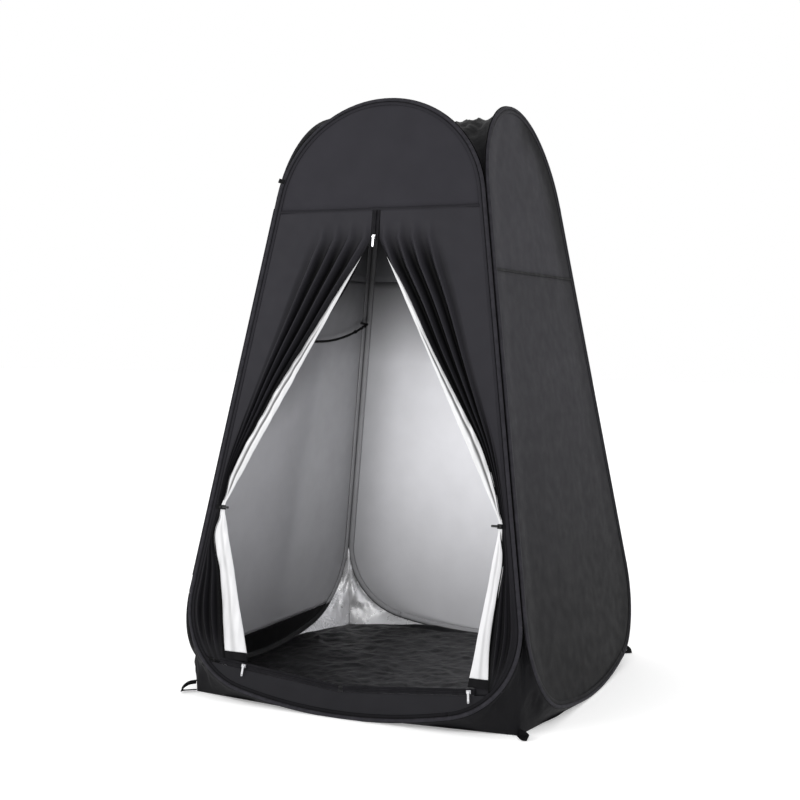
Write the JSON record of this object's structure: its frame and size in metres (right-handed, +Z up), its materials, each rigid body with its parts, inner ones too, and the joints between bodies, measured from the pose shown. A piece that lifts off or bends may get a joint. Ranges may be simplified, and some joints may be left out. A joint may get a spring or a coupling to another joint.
{
  "type": "privacy shower tent",
  "caption": "Square pop-up privacy shower tent with tied-back zip door, sprung hoop walls, silver-lined cloth, floor, stake loops and a towel line.",
  "frame": {"origin": "centre of the footprint, on the ground", "axes": "+Z up, the door faces -Y, the right wall is at +X, the back wall at +Y and the left wall at -X"},
  "size_m": [1.2492, 1.2492, 1.9],
  "materials": {
    "wire": "satin spring steel",
    "ferrule": "crimped, satin",
    "binding": "black polyester binding, slight sheen",
    "cloth_upper": "charcoal polyester, uncoated inside",
    "cloth_lower": "charcoal polyester, silver coating inside",
    "cloth_dark": "near-black polyester",
    "seam_tape": "stitched seam tape",
    "zip_tape": "black coil zip",
    "slider_metal": "nickel-plated",
    "pull_metal": "silver pull",
    "toggle_plastic": "black",
    "ring_plastic": "black",
    "line_cord": "black braided cord",
    "floor_cloth": "black coated, crinkled",
    "roof_cloth": "charcoal, crinkled",
    "gusset_cloth": "dark outside, silver coating inside",
    "webbing": "black webbing"
  },
  "bodies": {
    "front": {"wire_front": "wire", "ferrule_front": "ferrule", "sleeve_front": "binding", "cord_fl": "binding", "cord_fr": "binding", "header_front": "cloth_upper", "sill_front": "cloth_lower", "zip_top": "zip_tape", "zip_sill_left": "zip_tape", "zip_sill_right": "zip_tape", "tab_shoulder": "webbing", "floor": "floor_cloth", "roof": "roof_cloth", "gusset_fl": "gusset_cloth", "gusset_fr": "gusset_cloth"},
    "right": {"wire_right": "wire", "ferrule_right": "ferrule", "sleeve_right": "binding", "cord_br": "binding", "wall_right_lower": "cloth_lower", "wall_right_upper": "cloth_upper", "seam_right": "seam_tape", "gusset_br": "gusset_cloth"},
    "back": {"wire_back": "wire", "ferrule_back": "ferrule", "sleeve_back": "binding", "wall_back_lower": "cloth_lower", "wall_back_upper": "cloth_upper", "seam_back": "seam_tape"},
    "left": {"wire_left": "wire", "ferrule_left": "ferrule", "sleeve_left": "binding", "wall_left_skirt": "cloth_dark", "wall_left_lower": "cloth_lower", "wall_left_upper": "cloth_upper", "seam_left": "seam_tape", "gusset_bl": "gusset_cloth", "line_ring_front": "ring_plastic", "line_ring_back": "ring_plastic"},
    "flap_left": {"flap_left": "cloth_lower", "strap_left": "webbing"},
    "flap_right": {"flap_right": "cloth_lower", "strap_right": "webbing"},
    "toggle_left": {"toggle_left": "toggle_plastic"},
    "toggle_right": {"toggle_right": "toggle_plastic"},
    "slider_top": {"slider_top": "slider_metal"},
    "slider_sill_left": {"slider_sill_left": "slider_metal"},
    "slider_sill_right": {"slider_sill_right": "slider_metal"},
    "pull_top": {"pull_top": "pull_metal"},
    "pull_sill_left": {"pull_sill_left": "pull_metal"},
    "pull_sill_right": {"pull_sill_right": "pull_metal"},
    "towel_line": {"towel_line": "line_cord"},
    "stake_fl": {"stake_fl": "webbing"},
    "stake_fr": {"stake_fr": "webbing"},
    "stake_br": {"stake_br": "webbing"},
    "stake_bl": {"stake_bl": "webbing"}
  },
  "joints": [
    {"name": "fold", "type": "hinge", "parent": "front", "child": "right", "pos_m": [0.46711, -0.46711, 0.9], "axis": [-0.1539, 0.1539, 0.976], "range_deg": [0, 86], "deforming": ["floor", "roof", "gusset_fr"]},
    {"name": "left_fold", "type": "hinge", "parent": "front", "child": "left", "pos_m": [-0.47553, -0.47553, 0.9], "axis": [0.1565, 0.1565, 0.9752], "range_deg": [0, 85], "deforming": ["gusset_fl", "gusset_bl"]},
    {"name": "back_fold", "type": "hinge", "parent": "right", "child": "back", "pos_m": [0.47553, 0.47553, 0.9], "axis": [-0.1565, -0.1565, 0.9752], "range_deg": [-85, 0], "deforming": ["gusset_br"]},
    {"name": "flap_left_swing", "type": "hinge", "parent": "front", "child": "flap_left", "pos_m": [-0.44758, -0.47553, 0.9], "axis": [-0.1565, -0.1565, -0.9752], "range_deg": [0, 25]},
    {"name": "flap_right_swing", "type": "hinge", "parent": "front", "child": "flap_right", "pos_m": [0.44758, -0.47553, 0.9], "axis": [-0.1565, 0.1565, 0.9752], "range_deg": [0, 25]},
    {"name": "toggle_left_turn", "type": "hinge", "parent": "flap_left", "child": "toggle_left", "pos_m": [-0.465, -0.53208, 0.60135], "axis": [0, -0.9874, 0.1585], "range_deg": [-60, 60]},
    {"name": "toggle_right_turn", "type": "hinge", "parent": "flap_right", "child": "toggle_right", "pos_m": [0.475, -0.53208, 0.60135], "axis": [0, -0.9874, 0.1585], "range_deg": [-60, 60]},
    {"name": "slider_top_slide", "type": "slide", "parent": "front", "child": "slider_top", "axis": [0, 0.1585, 0.9874], "range_m": [0, 0.075]},
    {"name": "slider_sill_left_slide", "type": "slide", "parent": "front", "child": "slider_sill_left", "axis": [-0.9959, 0.0144, 0.0895], "range_m": [-0.3, 0.06]},
    {"name": "slider_sill_right_slide", "type": "slide", "parent": "front", "child": "slider_sill_right", "axis": [0.9959, 0.0144, 0.0895], "range_m": [-0.38, 0.006]},
    {"name": "pull_top_swing", "type": "hinge", "parent": "slider_top", "child": "pull_top", "pos_m": [0, -0.39622, 1.45965], "axis": [-1, 0, 0], "range_deg": [0, 90]},
    {"name": "pull_sill_left_swing", "type": "hinge", "parent": "slider_sill_left", "child": "pull_sill_left", "pos_m": [-0.3386, -0.61126, 0.12007], "axis": [-0.9959, 0.0144, 0.0895], "range_deg": [0, 90]},
    {"name": "pull_sill_right_swing", "type": "hinge", "parent": "slider_sill_right", "child": "pull_sill_right", "pos_m": [0.41429, -0.61017, 0.12687], "axis": [-0.9959, -0.0144, -0.0895], "range_deg": [0, 90]},
    {"name": "line_swing", "type": "hinge", "parent": "left", "child": "towel_line", "pos_m": [-0.39972, 0, 1.19556], "axis": [0, -1, 0], "range_deg": [-10, 15]},
    {"name": "stake_fr_lift", "type": "hinge", "parent": "front", "child": "stake_fr", "pos_m": [0.55296, -0.55296, 0.002], "axis": [-0.7071, -0.7071, 0], "range_deg": [0, 70]},
    {"name": "stake_fl_lift", "type": "hinge", "parent": "front", "child": "stake_fl", "pos_m": [-0.55296, -0.55296, 0.002], "axis": [-0.7071, 0.7071, 0], "range_deg": [0, 70]},
    {"name": "stake_br_lift", "type": "hinge", "parent": "back", "child": "stake_br", "pos_m": [0.55296, 0.55296, 0.002], "axis": [0.7071, -0.7071, 0], "range_deg": [0, 70]},
    {"name": "stake_bl_lift", "type": "hinge", "parent": "back", "child": "stake_bl", "pos_m": [-0.55296, 0.55296, 0.002], "axis": [0.7071, 0.7071, 0], "range_deg": [0, 70]}
  ],
  "couplings": [
    {"joint": "left_fold", "follows": "fold", "ratio": 0.985},
    {"joint": "back_fold", "follows": "fold", "ratio": -0.985}
  ]
}
